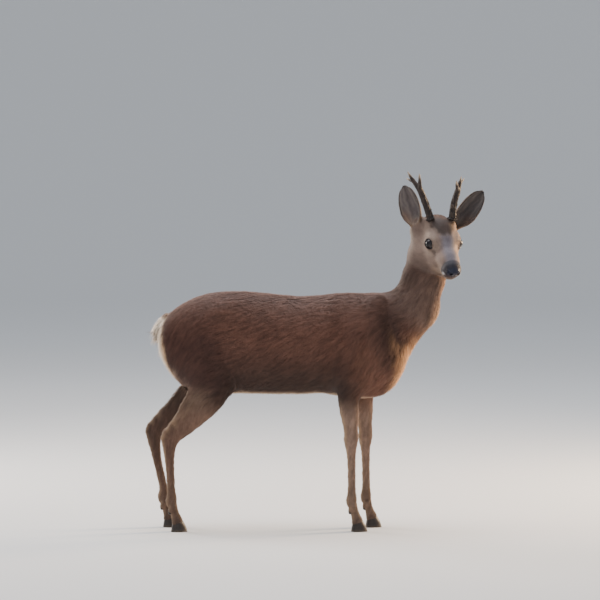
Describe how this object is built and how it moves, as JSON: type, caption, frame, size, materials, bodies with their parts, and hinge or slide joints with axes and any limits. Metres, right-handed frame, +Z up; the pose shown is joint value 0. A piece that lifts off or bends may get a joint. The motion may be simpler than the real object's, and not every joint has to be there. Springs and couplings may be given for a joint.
{
  "type": "roe deer",
  "caption": "Life-size roebuck in summer coat, standing with its head turned aside, forked antlers, slim legs on cloven hooves.",
  "frame": {"origin": "middle of the bounding box, on the floor under the hooves", "axes": "+X towards the breast, +Y to the animal's left, +Z up"},
  "size_m": [1.0026, 0.2713, 1.0571],
  "materials": {
    "coat": "short, close-lying hair",
    "face_coat": "very short hair",
    "leg_coat": "very short hair",
    "rump_coat": "longer, loose hair",
    "ear_coat": "short hair, bare edge",
    "antler": "rough, pearled bone, polished at the tips",
    "hoof": "satin horn",
    "eye": "wet, polished"
  },
  "bodies": {
    "root": {"head": "face_coat", "neck": "coat", "trunk": "coat", "tail": "rump_coat", "foreleg_right": "leg_coat", "foreleg_left": "leg_coat", "hindleg_right": "leg_coat", "hindleg_left": "leg_coat", "hoof_fore_right_outer": "hoof", "dewclaw_fore_right_outer": "hoof", "hoof_fore_right_inner": "hoof", "dewclaw_fore_right_inner": "hoof", "hoof_fore_left_outer": "hoof", "dewclaw_fore_left_outer": "hoof", "hoof_fore_left_inner": "hoof", "dewclaw_fore_left_inner": "hoof", "hoof_hind_right_outer": "hoof", "dewclaw_hind_right_outer": "hoof", "hoof_hind_right_inner": "hoof", "dewclaw_hind_right_inner": "hoof", "hoof_hind_left_outer": "hoof", "dewclaw_hind_left_outer": "hoof", "hoof_hind_left_inner": "hoof", "dewclaw_hind_left_inner": "hoof", "eye_right": "eye", "ear_right": "ear_coat", "antler_beam_right": "antler", "antler_tine_front_right": "antler", "antler_tine_top_right": "antler", "antler_tine_rear_right": "antler", "eye_left": "eye", "ear_left": "ear_coat", "antler_beam_left": "antler", "antler_tine_front_left": "antler", "antler_tine_top_left": "antler", "antler_tine_rear_left": "antler"}
  },
  "joints": []
}
